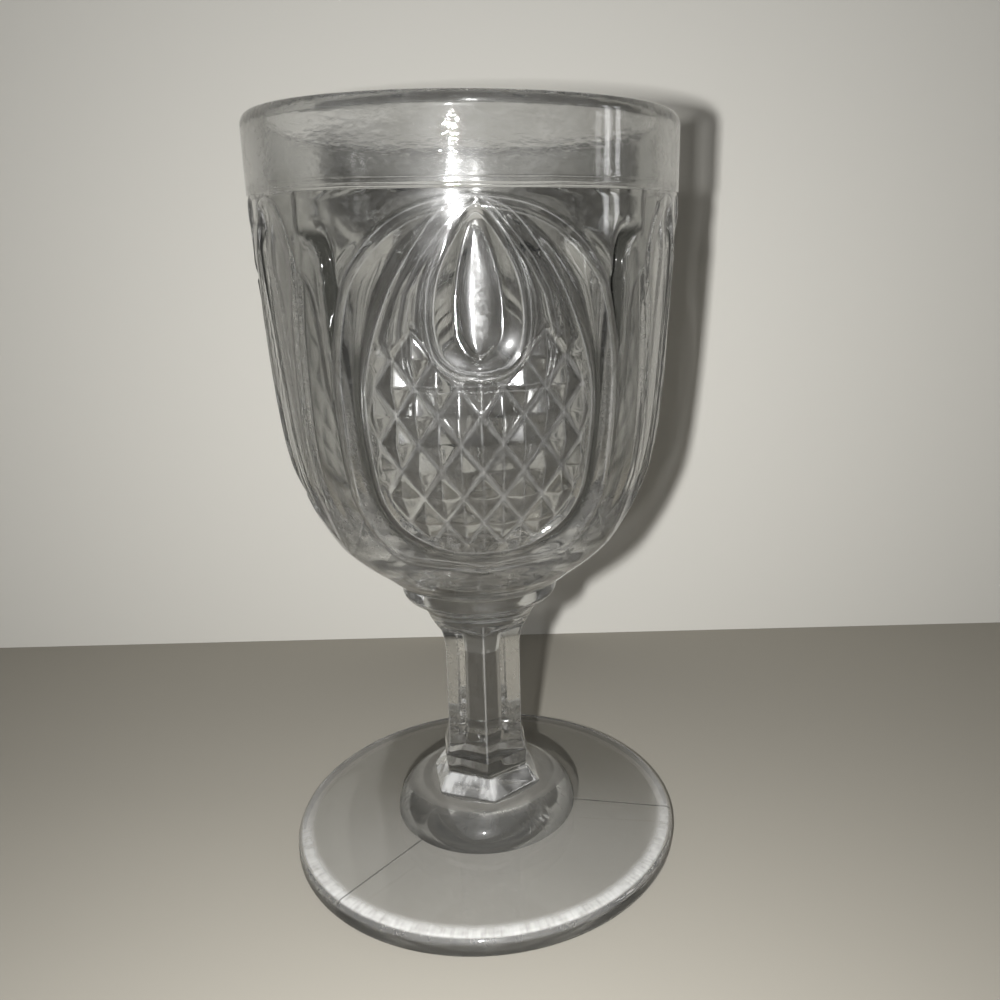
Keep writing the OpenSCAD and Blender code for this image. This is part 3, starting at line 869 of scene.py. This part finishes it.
def edges_painted_glints(mix, place):
    """Painted highlights: the raised edges, the diamonds' valleys and upright ridges, and a speckled
    streak down the teardrop are whitened where the lamp glints on them.
    """
    dust_and_painted_light = [("rib", "X", 0.25, 0.16, 1), ("rib", "X", 1.85, 0.16, 0.5), ("rib", "Y", 0.0, 0.18, 1)]
    dust_and_painted_light += [("rib", "Z", -0.5, 0.15, 0.6), ("rib", "Z", 0.5, 0.15, 0.5)]
    dust_and_painted_light += [("petal", "X", 0.15, 0.16, 1.2), ("petal", "X", 1.4, 0.16, 1.2)]
    dust_and_painted_light += [("petal", "Y", 0.2, 0.16, 0.5)]
    dust_and_painted_light += [("petal", "Z", 0.0, 0.16, 0.6), ("petal", "Z", 1.7, 0.16, 0.4)]
    dust_and_painted_light += [("field", "Y", 0.0, 0.55, 0.45), ("field", "Z", 0.0, 0.12, 0.6)]
    patches = mix.node("TexNoise", Vector=place, Scale=300.0, Detail=3.0).within(0.3, 0.65)
    streak_speckle = mix.node("TexNoise", Vector=place, Scale=1500.0, Detail=4.0).within(0.35, 0.65)
    drop = moulded_lines(mix, [("drop", "X", 4.4, 2.8, 1.0)]) * (streak_speckle * 0.22 + 0.05)
    return moulded_lines(mix, dust_and_painted_light) * (patches * 0.05 + 0.05) + drop


def grooves_painted_shade(mix, place):
    """Painted shade in the grooves, and in a line just outside each raised edge."""
    given = mix.node("Attribute", {"attribute_name": "field_edges"}, out="Vector")
    beside = [("rib", "X", -0.35, 0.4, 0.42), ("rib", "Y", -0.7, 0.6, 0.16)]
    beside += [("petal", "Y", -0.35, 0.5, 0.22), ("petal", "Z", -0.35, 0.5, 0.2)]
    beside += [("petal", "X", -0.5, 0.4, 0.15), ("petal", "X", 0.75, 0.3, 0.15)]
    beside += [("drop", "X", -0.6, 1.1, 0.3)]
    dark = mix.node("SeparateXYZ", out="X", Vector=given) + moulded_lines(mix, beside)
    return mix.maths("MINIMUM", dark, 0.93)


bowl_glass = clear_glass("bowl_glass", 0.715, 0.4, 0.06, mould_edges, edges_painted_glints, grooves_painted_shade)
dress(bowl, "bowl", bowl_glass, [(bowl_z, 0, collar_r), (band_z, inner_r, bowl_top_r)])


# The rim band: the plain top of the glass, above the line where the mould's ring closed, with
# its lip melted round in the fire.
rim_r, band_h, lip_h = 41.0, 14.2, 2.4
lip_mid = (rim_r + inner_r) / 2
band_outline = [(inner_r, band_z), (bowl_top_r, band_z)]
band_outline += [(rim_r - 0.1, band_z + 0.02), (rim_r, band_z + 0.15)]
band_outline += [(rim_r, band_z + (band_h - lip_h) * k / 8) for k in range(1, 8)]
band_outline += [
    (lip_mid + (rim_r - inner_r) / 2 * math.cos(a), band_z + band_h - lip_h + lip_h * math.sin(a))
    for a in [math.pi * k / 28 for k in range(29)]
]
band_outline += [(inner_r, band_z + (band_h - lip_h) * k / 8) for k in range(7, -1, -1)]
rim_band = turned("rim_band_lip", band_outline, 640)


def drawn_lines(mix, place):
    """Fine level lines just above the joint, that wander as they go round."""
    z = mix.node("SeparateXYZ", out="Z", Vector=place)
    level = z + mix.node("TexNoise", Vector=place, Scale=30.0, Detail=2.0) * 0.0016
    flat, reach = foot_reach(mix, place)
    rise = z - band_z * mm
    lines = (rise * 0.03 + rise * rise * 2.4) * reach.within(0.0388, 0.0398)
    for up_band in (1.2, 1.75, 2.6):
        off = mix.maths("ABSOLUTE", level - (band_z + up_band) * mm)
        lines = lines + (1 - off.within(0.0, 0.0002)) * 0.00003
    return lines


def band_rubbed(mix, place):
    """Faint smears on the outside, and light wear on the lip."""
    smears = mix.node("VectorMath", {"operation": "MULTIPLY"}, n0=place, n1=(1.0, 1.0, 2.0))
    return mix.node("TexNoise", Vector=smears, Scale=45.0, Detail=5.0).within(0.35, 0.75) * 0.022


band_glass = clear_glass("band_glass", 0.7, 0.87, 0.03, drawn_lines, band_rubbed, mottled=0.42)
dress(rim_band, "rim_band", band_glass, [(band_z, inner_r, bowl_top_r)])
